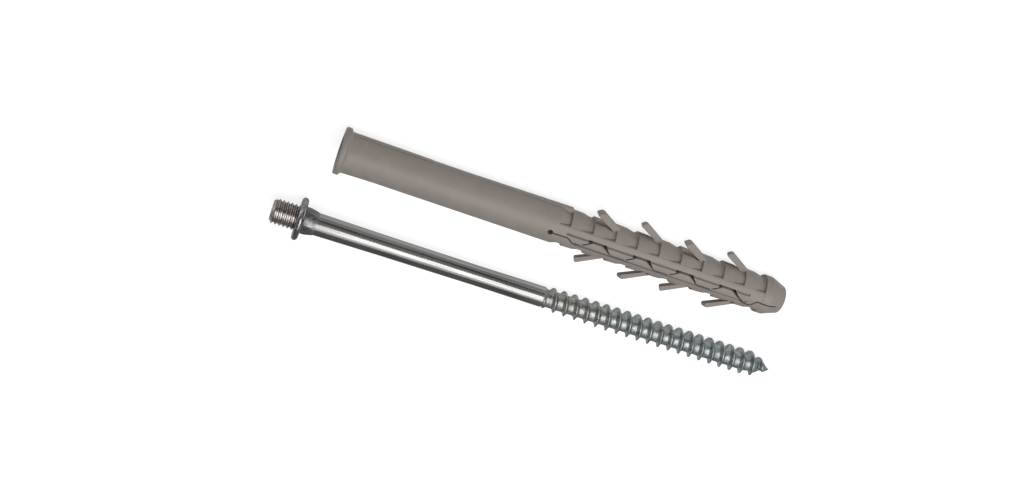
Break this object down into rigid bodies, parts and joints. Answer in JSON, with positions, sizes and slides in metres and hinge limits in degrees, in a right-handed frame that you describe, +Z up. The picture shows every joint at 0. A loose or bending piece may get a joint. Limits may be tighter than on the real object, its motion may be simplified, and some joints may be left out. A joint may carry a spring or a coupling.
{
  "type": "frame wall plug with hanger screw",
  "caption": "Long nylon frame plug with a smooth sleeve and a barbed, finned, zigzag-split end, beside a zinc-plated hanger screw with a collar, a machine-thread stud and a coarse wood thread.",
  "frame": {"origin": "middle of the pair's footprint, on the surface that both pieces lie on", "axes": "+X along both pieces from the mouth and the stud towards the tips, +Y from the screw towards the plug, +Z up"},
  "size_m": [0.1668, 0.052, 0.014],
  "materials": {
    "nylon": "warm grey moulded nylon with a soft sheen",
    "zinc_steel": "bright zinc plating, slightly bluish in the threads"
  },
  "bodies": {
    "root": {"wall_plug": "nylon", "screw": "zinc_steel"}
  },
  "joints": []
}
